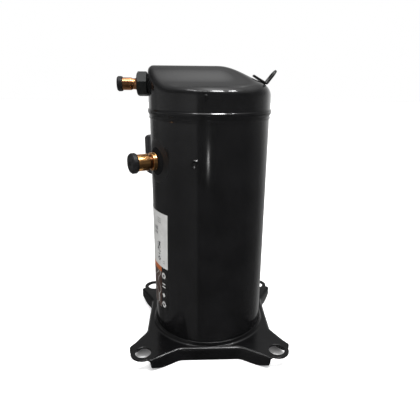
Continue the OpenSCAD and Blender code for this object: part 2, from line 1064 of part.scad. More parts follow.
base_plate();
bottom_cap();
shell_tube();
top_cap();
partition_plate();
lifting_lug();
rating_label();
discharge_collar();
discharge_nut();
discharge_stub();
discharge_plug();
suction_boss();
suction_socket();
suction_stub();
suction_plug();
suction_deflector();
terminal_ring();
terminal_cup();
terminal_beads();
terminal_pins();
terminal_gasket();
terminal_plug();
terminal_cover();
earth_screw();
motor_leads();
motor_protector();
lower_bracket();
lower_bush();
thrust_washer();
oil_magnet();
stator_core();
upper_winding();
lower_winding();
main_housing();
main_bush();
crankshaft();
oil_pickup();
rotor_core();
rotor_end_rings();
lower_counterweight();
upper_counterweight();
drive_bush();
orbiting_scroll();
orbiting_bush();
oldham_ring();
fixed_scroll();
scroll_bolts();
relief_valve();
floating_seal();
valve_disc();
valve_guard();
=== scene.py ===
import json
import math

import bmesh
import bpy
from mathutils import Matrix, Vector
from mathutils.geometry import delaunay_2d_cdt


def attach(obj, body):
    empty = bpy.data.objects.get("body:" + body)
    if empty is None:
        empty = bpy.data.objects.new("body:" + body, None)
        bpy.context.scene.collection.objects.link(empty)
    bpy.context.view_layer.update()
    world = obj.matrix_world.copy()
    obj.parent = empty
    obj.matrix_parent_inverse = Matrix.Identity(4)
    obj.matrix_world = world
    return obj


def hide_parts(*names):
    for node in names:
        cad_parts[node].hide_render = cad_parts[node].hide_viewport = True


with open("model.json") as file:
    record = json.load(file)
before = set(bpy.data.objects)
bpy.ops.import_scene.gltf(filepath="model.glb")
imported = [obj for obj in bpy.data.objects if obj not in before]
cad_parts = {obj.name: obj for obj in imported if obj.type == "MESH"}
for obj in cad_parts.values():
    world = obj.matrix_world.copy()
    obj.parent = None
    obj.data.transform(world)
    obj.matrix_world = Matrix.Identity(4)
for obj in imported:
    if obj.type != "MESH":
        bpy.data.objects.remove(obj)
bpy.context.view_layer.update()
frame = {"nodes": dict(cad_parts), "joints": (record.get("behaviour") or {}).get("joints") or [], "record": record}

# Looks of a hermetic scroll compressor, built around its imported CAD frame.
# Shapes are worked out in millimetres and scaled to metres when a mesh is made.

MM = 0.001
DOWN = Vector((0, 0, -1))
UP = Vector((0, 0, 1))


# ---------- measures taken from the frame ----------

def reach(node, direction):
    """Lowest and highest distance of a CAD node along a direction, in mm."""
    values = [v.co.dot(direction) / MM for v in frame["nodes"][node].data.vertices]
    return min(values), max(values)


def reach_mid(node, direction):
    return sum(reach(node, direction)) / 2


def turn(degrees):
    """Level unit vector at an angle anticlockwise from +X."""
    return Vector((math.cos(math.radians(degrees)), math.sin(math.radians(degrees)), 0))


def heading(direction):
    return math.degrees(math.atan2(direction[1], direction[0]))


JOINT_AXIS = {j["name"]: Vector(j["axis"]) for j in frame["joints"]}
MOUNT = {m["name"]: m for m in frame["record"]["mounts"]}
HOLES = MOUNT["mounting_holes"]["dims"]

SUCTION_AZ = heading(JOINT_AXIS["suction_plug_pull"])
BOX_AZ = heading(JOINT_AXIS["cover_pull"])
DISCHARGE_Z = MOUNT["discharge_socket"]["pos_m"][2] / MM
SUCTION_Z = MOUNT["suction_socket_bore"]["pos_m"][2] / MM
SHELL_R = reach("shell_tube", turn(0))[1]
SHELL_LOW, SHELL_TOP = reach("shell_tube", UP)
CAP_R = reach("top_cap", turn(0))[1]
CAP_LOW, CREST_Z = reach("top_cap", UP)
CAP_FLAT = reach("top_cap", turn(180))[1]
BASE_Z = reach("base_plate", UP)[0]
FLANGE_X = reach("base_plate", turn(0))[1] - 22
FLANGE_Y = reach("base_plate", turn(90))[1] - 24
PITCH = HOLES["spacing_x_mm"] / 2
HOLE_R = HOLES["hole_r_mm"]
EAR_R = 17.5
SHEET_T = 3.0
WALL = 3.0


# ---------- mesh helpers ----------

def arc(cx, cy, r, start, end, steps=8):
    """Points on an arc, angles in degrees."""
    angles = [math.radians(start + (end - start) * i / steps) for i in range(steps + 1)]
    return [(cx + r * math.cos(a), cy + r * math.sin(a)) for a in angles]


def soften(corners, closed=True, steps=5):
    """Polygon of (x, y, radius) corners with each corner rounded to its radius."""
    path = []
    count = len(corners)
    for i, (x, y, r) in enumerate(corners):
        here = Vector((x, y))
        if r <= 0 or (not closed and i in (0, count - 1)):
            path.append((x, y))
            continue
        back = (Vector(corners[i - 1][:2]) - here).normalized()
        ahead = (Vector(corners[(i + 1) % count][:2]) - here).normalized()
        half = back.angle(ahead) / 2
        middle = here + (back + ahead).normalized() * (r / math.sin(half))
        start = here + back * (r / math.tan(half)) - middle
        end = here + ahead * (r / math.tan(half)) - middle
        sweep = start.angle_signed(end)
        for k in range(steps + 1):
            spoke = start.copy()
            spoke.rotate(Matrix.Rotation(-sweep * k / steps, 2))
            path.append(tuple(middle + spoke))
    return path


def finish_mesh(bm, name, angle=32):
    """Turns a bmesh in mm into a smooth-shaded object in metres."""
    bmesh.ops.remove_doubles(bm, verts=bm.verts, dist=0.002)
    bmesh.ops.recalc_face_normals(bm, faces=bm.faces)
    mesh = bpy.data.meshes.new(name)
    bm.to_mesh(mesh)
    bm.free()
    mesh.transform(Matrix.Scale(MM, 4))
    mesh.shade_smooth()
    mesh.set_sharp_from_angle(angle=math.radians(angle))
    thing = bpy.data.objects.new(name, mesh)
    bpy.context.scene.collection.objects.link(thing)
    return thing


def skin(bm, rings, closed=True, loop=True):
    """Quads between rows of vertices. A row of one vertex makes a fan."""
    rows = rings + [rings[0]] if loop else rings
    for a, b in zip(rows, rows[1:]):
        n = max(len(a), len(b))
        for i in range(n if closed else n - 1):
            j = (i + 1) % n
            quad = [a[i % len(a)], a[j % len(a)], b[j % len(b)], b[i % len(b)]]
            quad = list(dict.fromkeys(quad))
            if len(quad) > 2:
                bm.faces.new(quad)


def add_lathe(bm, profile, place=Matrix.Identity(4), segments=96, loop=True):
    """Adds a solid of revolution of (radius, height) points about local Z."""
    rings = []
    for r, z in profile:
        if r < 1e-6:
            rings.append([bm.verts.new(place @ Vector((0, 0, z)))])
            continue
        spokes = [2 * math.pi * i / segments for i in range(segments)]
        rings.append([bm.verts.new(place @ Vector((r * math.cos(a), r * math.sin(a), z)))
                      for a in spokes])
    skin(bm, rings, loop=loop)


def resample(path, step):
    """Closed path with its long stretches split into even parts."""
    even = []
    for a, b in zip(path, path[1:] + path[:1]):
        length = (b - a).length
        count = max(1, round(length / step))
        if length > 0.01:
            even += [a.lerp(b, i / count) for i in range(count)]
    return even


def lathe(name, profile, place=Matrix.Identity(4), segments=96, loop=True):
    bm = bmesh.new()
    add_lathe(bm, profile, place, segments, loop)
    return finish_mesh(bm, name)


def radial(az, z, out=0.0):
    """Place whose local Z points outwards from the shaft at height z."""
    return (Matrix.Translation(turn(az) * out + UP * z)
            @ Matrix.Rotation(math.radians(az), 4, "Z")
            @ Matrix.Rotation(math.radians(90), 4, "Y"))


def holds(outline, spot):
    """Whether a closed flat outline goes round a spot."""
    inside = False
    for a, b in zip(outline, outline[1:] + outline[:1]):
        if (a.y > spot.y) != (b.y > spot.y):
            crossing = a.x + (b.x - a.x) * (spot.y - a.y) / (b.y - a.y)
            inside ^= spot.x < crossing
    return inside


def fill_between(bm, loops, across, up):
    """Flat faces inside the first loop and outside the others, seen along two directions."""
    verts = [v for loop in loops for v in loop]
    flat = [Vector((v.co.dot(across), v.co.dot(up))) for v in verts]
    edges, first = [], 0
    for loop in loops:
        edges += [(first + i, first + (i + 1) % len(loop)) for i in range(len(loop))]
        first += len(loop)
    spots, _, corners, sources, _, _ = delaunay_2d_cdt(flat, edges, [], 1, 1e-5)
    level = across.cross(up) * verts[0].co.dot(across.cross(up))
    known = [verts[source[0]] if source else bm.verts.new(across * spot.x + up * spot.y + level)
             for spot, source in zip(spots, sources)]
    holes = [[Vector((v.co.dot(across), v.co.dot(up))) for v in loop] for loop in loops[1:]]
    for corner in corners:
        middle = sum((spots[i] for i in corner), Vector((0, 0))) / 3
        if not any(holds(hole, middle) for hole in holes):
            bm.faces.new([known[i] for i in corner])


def even_normals(thing):
    """Flat faces keep their own direction, and only the roundings blend."""
    weighted = thing.modifiers.new("even", "WEIGHTED_NORMAL")
    weighted.keep_sharp = True
    weighted.weight = 80


def settle(thing, body, slot, *nodes):
    """Gives a piece its body, material and the CAD nodes that it stands for."""
    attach(thing, body)
    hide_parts(*nodes)
    if not thing.data.materials:
        thing.data.materials.append(MATERIALS[slot])
    return thing


def turned(name, corners, az, z, body, slot, node):
    """A turned piece whose axis points outwards from the shaft."""
    return settle(lathe(name, soften(corners), radial(az, z)), body, slot, node)


def cut(thing, place, radius, length):
    """Drills a round hole along the place's local Z."""
    bm = bmesh.new()
    add_lathe(bm, [(0, 0), (radius, 0), (radius, length), (0, length)], place, 64, loop=False)
    tool = finish_mesh(bm, "drill")
    drill = thing.modifiers.new("drill", "BOOLEAN")
    drill.object = tool
    drill.solver = "EXACT"
    bpy.context.view_layer.update()
    seen = thing.evaluated_get(bpy.context.evaluated_depsgraph_get())
    drilled = bpy.data.meshes.new_from_object(seen)
    thing.modifiers.clear()
    thing.data = drilled
    bpy.data.objects.remove(tool)


# ---------- material kit ----------

def add_ramp(tree, value, stops):
    """Maps a value to (position, level or color) stops."""
    node = tree.nodes.new("ShaderNodeValToRGB")
    line = node.color_ramp
    while len(line.elements) < len(stops):
        line.elements.new(0.5)
    for element, (position, level) in zip(line.elements, stops):
        element.position = position
        element.color = (*level, 1) if isinstance(level, tuple) else (level,) * 3 + (1,)
    tree.links.new(value, node.inputs["Fac"])
    return node.outputs["Color"]


def add_math(tree, operation, a, b):
    """Math node on two values, each a socket or a number."""
    node = tree.nodes.new("ShaderNodeMath")
    node.operation = operation
    for socket, value in zip(node.inputs, (a, b)):
        if isinstance(value, (int, float)):
            socket.default_value = value
        else:
            tree.links.new(value, socket)
    return node.outputs["Value"]


class Surface:
    """A Principled material with short calls for procedural detail."""

    def __init__(self, name, color, roughness, metallic=0.0):
        self.material = bpy.data.materials.new(name)
        self.material.use_nodes = True
        self.nodes = self.material.node_tree.nodes
        self.join = self.material.node_tree.links.new
        self.shader = self.nodes["Principled BSDF"]
        self.shader.inputs["Base Color"].default_value = (*color, 1)
        self.shader.inputs["Roughness"].default_value = roughness
        self.shader.inputs["Metallic"].default_value = metallic
        self.color = None
        self.relief = None
        self.place = self.nodes.new("ShaderNodeTexCoord").outputs["Object"]

    def mapped(self, stretch):
        if stretch == (1, 1, 1):
            return self.place
        mapping = self.nodes.new("ShaderNodeMapping")
        mapping.inputs["Scale"].default_value = stretch
        self.join(self.place, mapping.inputs["Vector"])
        return mapping.outputs["Vector"]

    def noise(self, size_mm, detail=3.0, stretch=(1, 1, 1)):
        """Cloudy values with features of about size_mm."""
        node = self.nodes.new("ShaderNodeTexNoise")
        node.inputs["Scale"].default_value = 1 / (size_mm * MM)
        node.inputs["Detail"].default_value = detail
        self.join(self.mapped(stretch), node.inputs["Vector"])
        return node.outputs["Fac"]

    def bands(self, size_mm, axis="Z", rings=False, distortion=0.0):
        """Regular bands, one every size_mm."""
        node = self.nodes.new("ShaderNodeTexWave")
        if rings:
            node.wave_type = "RINGS"
            node.rings_direction = axis
        else:
            node.bands_direction = axis
        node.inputs["Scale"].default_value = 0.314 / (size_mm * MM)
        node.inputs["Distortion"].default_value = distortion
        self.join(self.place, node.inputs["Vector"])
        return node.outputs["Fac"]

    def ramp(self, value, *stops):
        return add_ramp(self.material.node_tree, value, stops)

    def tint(self, value, color, *stops):
        """Blends a color over the base color where the value says."""
        mix = self.nodes.new("ShaderNodeMix")
        mix.data_type = "RGBA"
        base, over = mix.inputs["A"], mix.inputs["B"]
        if self.color is None:
            base.default_value = self.shader.inputs["Base Color"].default_value
        else:
            self.join(self.color, base)
        over.default_value = (*color, 1)
        self.join(self.ramp(value, *stops), mix.inputs["Factor"])
        self.color = mix.outputs["Result"]
        self.join(self.color, self.shader.inputs["Base Color"])

    def gloss(self, value, *stops):
        """Roughness from a value."""
        self.join(self.ramp(value, *stops), self.shader.inputs["Roughness"])

    def dull(self, centre, radius_mm, roughness):
        """Raises the roughness round a point, as where heat has dulled the paint."""
        gap = self.nodes.new("ShaderNodeVectorMath")
        gap.operation = "DISTANCE"
        self.join(self.place, gap.inputs[0])
        gap.inputs[1].default_value = centre * MM
        near = self.ramp(gap.outputs["Value"], (radius_mm * 0.75 * MM, roughness), (radius_mm * MM, 0.0))
        socket = self.shader.inputs["Roughness"]
        most = add_math(self.material.node_tree, "MAXIMUM", socket.links[0].from_socket, near)
        self.join(most, socket)

    def bump(self, value, depth_mm):
        node = self.nodes.new("ShaderNodeBump")
        node.inputs["Distance"].default_value = depth_mm * MM
        node.inputs["Strength"].default_value = 1.0
        self.join(value, node.inputs["Height"])
        if self.relief is not None:
            self.join(self.relief, node.inputs["Normal"])
        self.relief = node.outputs["Normal"]
        self.join(self.relief, self.shader.inputs["Normal"])


def enamel(name, color, rough=0.085, peel=0.002, shine=0.5, weld=None):
    """Gloss black paint with orange peel, slow waves and a few dust nibs, dull round a weld."""
    s = Surface(name, color, rough)
    s.tint(s.noise(38, 3), tuple(c * 1.7 for c in color), (0.35, 0), (0.75, 1))
    s.tint(s.noise(1.6, 1), (0.05, 0.05, 0.055), (0.84, 0), (0.90, 0.5))
    s.gloss(s.noise(22, 4), (0.3, rough), (0.75, rough * 1.9))
    if weld:
        s.dull(weld, 34, 0.5)
    s.bump(s.noise(2.2, 2), peel)
    s.bump(s.noise(26, 1), peel * 9)
    s.shader.inputs["Specular IOR Level"].default_value = shine
    return s.material


def copper(name, color=(0.97, 0.52, 0.20)):
    """Drawn tube, browned by brazing in patches."""
    s = Surface(name, color, 0.2, 1.0)
    s.tint(s.noise(9, 4), (0.70, 0.27, 0.09), (0.42, 0), (0.75, 0.8))
    s.tint(s.noise(6, 4), (0.30, 0.11, 0.05), (0.70, 0), (0.85, 0.5))
    s.gloss(s.noise(6, 3), (0.3, 0.15), (0.75, 0.30))
    s.bump(s.noise(1.0, 2), 0.006)
    return s.material


def rubber(name, color):
    s = Surface(name, color, 0.5)
    s.shader.inputs["Specular IOR Level"].default_value = 0.3
    s.tint(s.noise(6, 4), tuple(c * 2.4 for c in color), (0.4, 0), (0.8, 1))
    s.gloss(s.noise(3, 4), (0.3, 0.38), (0.75, 0.62))
    s.bump(s.noise(0.5, 3), 0.02)
    return s.material


def plastic(name, color, rough=0.42):
    """Moulded plastic with a fine spark-eroded grain."""
    s = Surface(name, color, rough)
    s.tint(s.noise(14, 3), tuple(c * 1.6 for c in color), (0.35, 0), (0.75, 1))
    s.gloss(s.noise(5, 3), (0.3, rough * 0.8), (0.7, rough * 1.25))
    s.bump(s.noise(0.45, 2), 0.03)
    return s.material


def metal(name, color, rough=0.3, stretch=(1, 1, 0.06)):
    """Machined or rolled metal with fine lines and dull patches."""
    s = Surface(name, color, rough, 1.0)
    s.tint(s.noise(12, 4), tuple(c * 0.62 for c in color), (0.4, 0), (0.8, 0.9))
    s.gloss(s.noise(7, 4), (0.3, rough * 0.75), (0.75, rough * 1.5))
    s.bump(s.noise(0.35, 2, stretch), 0.012)
    return s.material


def cast(name, color, rough=0.5):
    """Cast metal with a grainy skin and darker pits."""
    s = Surface(name, color, rough, 0.85)
    s.tint(s.noise(4, 5), tuple(c * 0.45 for c in color), (0.45, 0), (0.75, 0.9))
    s.gloss(s.noise(3, 4), (0.3, rough * 0.8), (0.75, rough * 1.3))
    s.bump(s.noise(0.9, 4), 0.08)
    return s.material


def laminations(name):
    """Edges of stacked half-millimetre sheets."""
    s = Surface(name, (0.42, 0.43, 0.46), 0.35, 0.9)
    s.tint(s.bands(0.5), (0.12, 0.12, 0.13), (0.55, 0), (0.9, 0.9))
    s.tint(s.noise(15, 3), (0.30, 0.24, 0.19), (0.6, 0), (0.85, 0.5))
    s.bump(s.bands(0.5), 0.03)
    return s.material


def winding(name):
    """Varnished end turns: wires packed round the ring."""
    s = Surface(name, (0.50, 0.19, 0.065), 0.3)
    s.tint(s.noise(9, 3), (0.26, 0.09, 0.03), (0.4, 0), (0.8, 0.9))
    s.bump(s.bands(1.2, rings=True, distortion=1.5), 0.35)
    s.gloss(s.noise(4, 3), (0.3, 0.2), (0.75, 0.45))
    return s.material


def sleeve(name):
    """Woven sleeving over the motor leads."""
    s = Surface(name, (0.66, 0.58, 0.40), 0.85)
    s.tint(s.noise(0.9, 2), (0.40, 0.33, 0.20), (0.4, 0), (0.7, 1))
    s.bump(s.bands(0.7, distortion=2.0), 0.12)
    return s.material


def bead_glass(name):
    s = Surface(name, (0.45, 0.58, 0.60), 0.12)
    s.tint(s.noise(1.5, 3), (0.20, 0.32, 0.34), (0.4, 0), (0.8, 0.8))
    s.bump(s.noise(1.2, 2), 0.04)
    s.shader.inputs["Transmission Weight"].default_value = 0.35
    return s.material


def film(name, color, rough=0.32):
    """Printed label film: slight mottling and a few soft creases."""
    s = Surface(name, color, rough)
    s.shader.inputs["Specular IOR Level"].default_value = 0.25
    s.tint(s.noise(16, 4), tuple(c * 0.80 for c in color), (0.4, 0), (0.75, 0.9))
    s.tint(s.noise(1.3, 3), tuple(c * 0.72 for c in color), (0.58, 0), (0.72, 0.6))
    s.gloss(s.noise(8, 3), (0.3, rough * 0.8), (0.7, rough * 1.3))
    s.bump(s.noise(9, 2), 0.06)
    return s.material


FINISHES = (
    (enamel, "base_paint", (0.0032, 0.0032, 0.0035), 0.14, 0.004, 0.34),
    (enamel, "shell_paint", (0.0046, 0.0046, 0.0049), 0.085, 0.002, 0.5,
     turn(SUCTION_AZ) * SHELL_R + UP * SUCTION_Z),
    (enamel, "cap_paint", (0.0044, 0.0044, 0.0047), 0.09, 0.0025),
    (enamel, "lug_paint", (0.010, 0.010, 0.010), 0.25, 0.01, 0.3),
    (enamel, "nut_black", (0.006, 0.007, 0.007), 0.32, 0.01, 0.28),
    (copper, "copper"),
    (rubber, "plug_rubber", (0.006, 0.006, 0.0065)),
    (rubber, "gasket_rubber", (0.02, 0.02, 0.02)),
    (film, "label", (0.52, 0.52, 0.51)),
    (metal, "bare_steel", (0.50, 0.51, 0.53), 0.34),
    (bead_glass, "bead_glass"),
    (metal, "pin_brass", (0.75, 0.58, 0.28), 0.22),
    (plastic, "moulded_plastic", (0.022, 0.022, 0.024)),
    (plastic, "cover_plastic", (0.014, 0.014, 0.016), 0.34),
    (metal, "green_screw", (0.06, 0.34, 0.12), 0.3),
    (sleeve, "lead_sleeve"),
    (metal, "protector_can", (0.62, 0.62, 0.63), 0.25),
    (cast, "cast_iron", (0.24, 0.24, 0.25)),
    (cast, "scroll_iron", (0.40, 0.40, 0.41), 0.32),
    (metal, "bearing_bronze", (0.60, 0.43, 0.22), 0.35),
    (cast, "magnet", (0.07, 0.07, 0.075), 0.6),
    (laminations, "lamination"),
    (winding, "winding"),
    (metal, "machined_steel", (0.62, 0.63, 0.65), 0.18, (1, 1, 6)),
    (cast, "rotor_aluminium", (0.68, 0.69, 0.71), 0.35),
    (metal, "bolt_steel", (0.05, 0.05, 0.055), 0.35),
)
MATERIALS = {name: make(name, *values) for make, name, *values in FINISHES}


def dress_cad_nodes():
    """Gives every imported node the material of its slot."""
    for row in frame["record"]["subparts"]:
        data = frame["nodes"][row["node"]].data
        data.materials.clear()
        data.materials.append(MATERIALS[row["material_slot"]])


# ---------- shell, cap and sump ----------

PLUG_WELD_Z = 269
PLUG_WELD_R = 6.4
PLUG_WELDS = (15, 165, 255)
SPATTER = ((283.0, 13.0, 1.5), (281.4, 19.5, 1.2), (284.6, 9.0, 1.1), (279.8, 11.5, 0.9))


def add_plug_weld(bm, az, z):
    """Raised ring of weld metal with a sunken middle."""
    r = PLUG_WELD_R
    profile = [(0, -1.2), (0, -0.35), (r * 0.3, -0.2), (r * 0.52, 0.9), (r * 0.70, 1.75),
               (r * 0.85, 1.2), (r, -0.25), (r, -1.2)]
    add_lathe(bm, profile, radial(az, z, SHELL_R - 0.1), 40)


def add_spatter(bm, az, z, r):
    """Small bead of weld metal stuck to the shell."""
    dome = arc(0, 0, r, -18, 90, 5)
    profile = [(0, -0.6)] + dome[:-1] + [(0, r)]
    add_lathe(bm, profile, radial(az, z, SHELL_R), 16, loop=False)


def build_shell():
    bm = bmesh.new()
    rows = 64
    span = SHELL_TOP - SHELL_LOW
    outer = [(SHELL_R, SHELL_LOW + span * i / rows) for i in range(rows + 1)]
    inner = [(SHELL_R - WALL, SHELL_TOP), (SHELL_R - WALL, SHELL_LOW)]
    add_lathe(bm, outer + inner, segments=256)
    shell = finish_mesh(bm, "shell")
    cut(shell, radial(SUCTION_AZ, SUCTION_Z, 60), 12.6, 40)
    cut(shell, radial(BOX_AZ, reach_mid("terminal_cup", UP), 60), 19.2, 40)
    bm = bmesh.new()
    bm.from_mesh(shell.data)
    bmesh.ops.scale(bm, vec=(1 / MM,) * 3, verts=bm.verts)
    for az in PLUG_WELDS:
        add_plug_weld(bm, az, PLUG_WELD_Z)
    for az, z, r in SPATTER:
        add_spatter(bm, az, z, r)
    bpy.data.objects.remove(shell)
    return settle(finish_mesh(bm, "shell"), "housing", "shell_paint", "shell_tube")


def swell(t):
    """Smooth step from 1 at t = 0 to 0 at t = 1."""
    return 0.5 + 0.5 * math.cos(math.pi * min(1.0, max(0.0, t)))


CAP_SKIRT_R = 83.4
CAP_WALL = WALL - 0.4
SKIRT_Z = 336
SHOULDER_Z = 361.5
HUMP_HALF = 66
HUMP_START = 10
HUMP_LENGTH = 86


def cap_height(x, y):
    """Height of the cap's upper surface: a low crown with a hump over the discharge side."""
    hump = swell(abs(y) / HUMP_HALF) * swell((x - HUMP_START) / HUMP_LENGTH)
    return SHOULDER_Z + (CREST_Z - SHOULDER_Z) * hump


def cap_edge(angle):
    """Radius of the cap's wall at its shoulder, with a flat at the discharge fitting."""
    toward = -math.cos(angle)
    if toward < 0.5:
        return CAP_SKIRT_R
    flat = CAP_FLAT / toward
    blend = 1.2
    return -blend * math.log(math.exp(-CAP_SKIRT_R / blend) + math.exp(-flat / blend))


def rim_radius(angle):
    """Rounding of the cap's upper edge: fullest behind the lug, tightest at the flat."""
    toward = math.cos(angle)
    return 9.5 + (4.5 if toward > 0 else 1.8) * toward


def cap_rings(inset):
    """Rows of cap points from the crown's centre out and down the wall, inset by the sheet."""
    segments = 256
    angles = [2 * math.pi * i / segments for i in range(segments)]
    rows = [[(0.0, 0.0, cap_height(0, 0) - inset)]]
    crown = [i / 22 for i in range(1, 23)]
    for share in crown:
        rows.append([])
        for a in angles:
            rim = rim_radius(a)
            r = (cap_edge(a) - rim) * share
            x, y = r * math.cos(a), r * math.sin(a)
            rows[-1].append((x, y, cap_height(x, y) - inset))
    for k in range(1, 11):
        tilt = math.radians(9 * k)
        rows.append([])
        for a in angles:
            rim = rim_radius(a)
            edge = cap_edge(a)
            r = edge - rim + (rim - inset) * math.sin(tilt)
            skin_r = edge - rim + rim * math.sin(tilt)
            top = cap_height(skin_r * math.cos(a), skin_r * math.sin(a))
            z = top - rim + (rim - inset) * math.cos(tilt)
            rows[-1].append((r * math.cos(a), r * math.sin(a), z))
    return rows, angles


def wall_rows(angles, rows, steps, low_r, low_z, inset):
    """Straight rows down the cap's wall from its last row to a round ring."""
    top = rows[-1]
    made = []
    for k in range(1, steps + 1):
        share = k / steps
        ring = []
        for a, (x, y, z) in zip(angles, top):
            r = math.hypot(x, y) * (1 - share ** 2) + (low_r - inset) * share ** 2
            ring.append((r * math.cos(a), r * math.sin(a), z + (low_z - z) * share))
        made.append(ring)
    return made


LIP_R = 85.2
LIP_LOW = CAP_LOW + 1
# The rolled lip, as offsets from its fullest radius and lowest height.
LIP = [(-1.7, 14.2), (-1.5, 13.3), (-1.05, 12.5), (-0.45, 11.9), (-0.1, 11.2), (0.0, 10.2), (-0.1, 8.8),
       (-0.6, 7.4), (-1.4, 6.2), (-2.0, 5.0), (-2.2, 3.8), (-2.0, 3.0), (-1.6, 2.4), (-1.5, 1.6),
       (-1.8, 0.6), (-2.5, 0.0)]


def spokes(angles, r):
    """Points at one radius, one at each angle."""
    return [(r * math.cos(a), r * math.sin(a)) for a in angles]


def build_cap():
    bm = bmesh.new()
    outer, angles = cap_rings(0)
    outer += wall_rows(angles, outer, 8, CAP_SKIRT_R + 0.1, SKIRT_Z, 0)
    for out, rise in LIP:
        outer.append([(x, y, LIP_LOW + rise) for x, y in spokes(angles, LIP_R + out)])
    inner, angles = cap_rings(CAP_WALL)
    inner += wall_rows(angles, inner, 4, CAP_SKIRT_R, SKIRT_Z, CAP_WALL)
    inner.append([(x, y, SHELL_TOP) for x, y in spokes(angles, SHELL_R + 0.1)])
    rings = outer + inner[::-1]
    skin(bm, [[bm.verts.new(p) for p in ring] for ring in rings], loop=False)
    add_round_mark(bm)
    add_weld_end(bm)
    return settle(finish_mesh(bm, "cap", 40), "housing", "cap_paint", "top_cap")


def add_weld_end(bm):
    """Bead where the seam weld under the lip closes."""
    profile = [(0, -1), (1.5, -1), (1.6, 0), (1.2, 0.9), (0.6, 1.3), (0, 1.4)]
    add_lathe(bm, profile, radial(3, 331, 84.6), 20, loop=False)


def add_round_mark(bm):
    """Plain pressed disc on the front of the cap's wall."""
    profile = [(0, -0.8), (0, 0.2), (1.9, 0.3), (2.3, 1.3), (2.9, 1.5), (3.5, 0.8), (3.6, 0.0), (3.6, -0.8)]
    add_lathe(bm, profile, radial(264.5, 350, CAP_SKIRT_R - 0.1), 32)


def build_sump():
    """Dished bottom cap with a drawn corner."""
    r = SHELL_R - WALL - 0.05
    low, top = reach("bottom_cap", UP)
    outer = soften([(0, low + 1.2, 0), (r * 0.6, low + 0.6, 30), (r - 13, low, 8), (r, low + 9, 12),
                    (r, top, 0.8)], closed=False)
    t = WALL
    inner = soften([(r - t, top, 0.8), (r - t, low + 9, 9), (r - 13 - t * 0.4, low + t, 8),
                    (r * 0.6, low + 0.6 + t, 30), (0, low + 1.2 + t, 0)], closed=False)
    sump = lathe("sump", outer + inner, segments=160, loop=False)
    return settle(sump, "housing", "shell_paint", "bottom_cap")


# ---------- base plate ----------

SLANT_START = 43.5
SLANT_TIP = 83.5
EAR_STEP = 6


def line_circle(a, b, centre, r):
    """Where the line from a to b first enters the circle."""
    along = b - a
    off = a - centre
    p = off.dot(along) / along.length_squared
    q = (off.length_squared - r * r) / along.length_squared
    return a + along * (-p - math.sqrt(p * p - q))


def ear_path(tip_in, tip_out, centre):
    """Outline from one flange's tip round an ear to the next flange's tip."""
    enter = line_circle(tip_in, tip_out, centre, EAR_R)
    leave = line_circle(tip_out, tip_in, centre, EAR_R)
    start = math.degrees(math.atan2(*(enter - centre).yx))
    end = math.degrees(math.atan2(*(leave - centre).yx))
    end += 360 if end < start else 0
    points = [(*tip_in, 4), (*enter, 2.0)]
    angle = start + 9
    while angle < end - 8:
        spot = centre + Vector((math.cos(math.radians(angle)), math.sin(math.radians(angle)))) * EAR_R
        points.append((*spot, 0))
        angle += EAR_STEP
    return points + [(*leave, 2.0), (*tip_out, 4)]


def base_outline():
    """Closed plan of the base plate, anticlockwise, as points with their flange depth."""
    tip_y, tip_x = FLANGE_Y + 24, FLANGE_X + 22
    corners = []
    for k in range(4):
        front = k % 2 == 0
        near, far = (FLANGE_Y, tip_y) if front else (FLANGE_X, tip_x)
        turned = Matrix.Rotation(math.radians(90 * k), 2)

        def flip(x, y):
            return turned @ Vector((x, y))

        across = tip_x if front else tip_y
        corners += [(*flip(-SLANT_START, -near), 16), (*flip(SLANT_START, -near), 16)]
        corners += ear_path(flip(SLANT_TIP, -far), flip(across, -SLANT_TIP), flip(PITCH, -PITCH))
    return resample([Vector(p) for p in soften(corners)], 5)


def flange_depth(p):
    """Depth of the turned-down edge at a plan point: none round the ears."""
    full = -BASE_Z
    x, y = abs(p.x), abs(p.y)
    along = min(x, y)
    if along > SLANT_TIP - 0.4 or math.hypot(x - PITCH, y - PITCH) < EAR_R + 0.3:
        return 0.0
    clipped = 65
    if along < clipped:
        return full
    return full - (full - 9) * ((along - clipped) / (SLANT_TIP - clipped)) ** 1.6


def bend_radius(p):
    """Outer radius of the flange's bend at a plan point: tighter towards the tips."""
    near = (SLANT_TIP - min(abs(p.x), abs(p.y))) / 14
    share = min(1.0, max(0.0, near))
    return 2.3 + 2.3 * share * share * (3 - 2 * share)


def outer_bend(r):
    """Rounding from the sheet's top over to its edge."""
    tilts = [math.radians(a) for a in (0, 22, 45, 68, 90)]
    return [(r - r * math.sin(a), SHEET_T - r + r * math.cos(a)) for a in tilts]


def edge_profile(depth, bend):
    """(offset inwards, height) points from the top, over the edge, to the underside."""
    flat = 2.0
    rim = 0.9
    sheet = [(flat, SHEET_T)] + outer_bend(rim)
    sheet += [(0, 1.8), (0, rim), (0.3, 0.3), (rim, 0)]
    sheet += [(1.1, 0), (1.25, 0), (1.4, 0), (1.55, 0), (1.7, 0), (flat, 0)]
    root = max(bend, SHEET_T + 0.2)
    inner = root - SHEET_T
    drop = [(bend + 0.8, SHEET_T)] + outer_bend(bend)
    drop += [(0, -depth * 0.5), (0, -depth + 0.9), (0.3, -depth + 0.25), (0.9, -depth)]
    drop += [(SHEET_T - 0.7, -depth), (SHEET_T, -depth + 0.7), (SHEET_T, -inner - 0.1),
             (SHEET_T + inner * 0.29, -inner * 0.29), (root, 0), (root + 0.3, 0)]
    share = min(1.0, depth / 6)
    share = share * share * (3 - 2 * share)
    return [(a + (c - a) * share, b + (d - b) * share) for (a, b), (c, d) in zip(sheet, drop)]


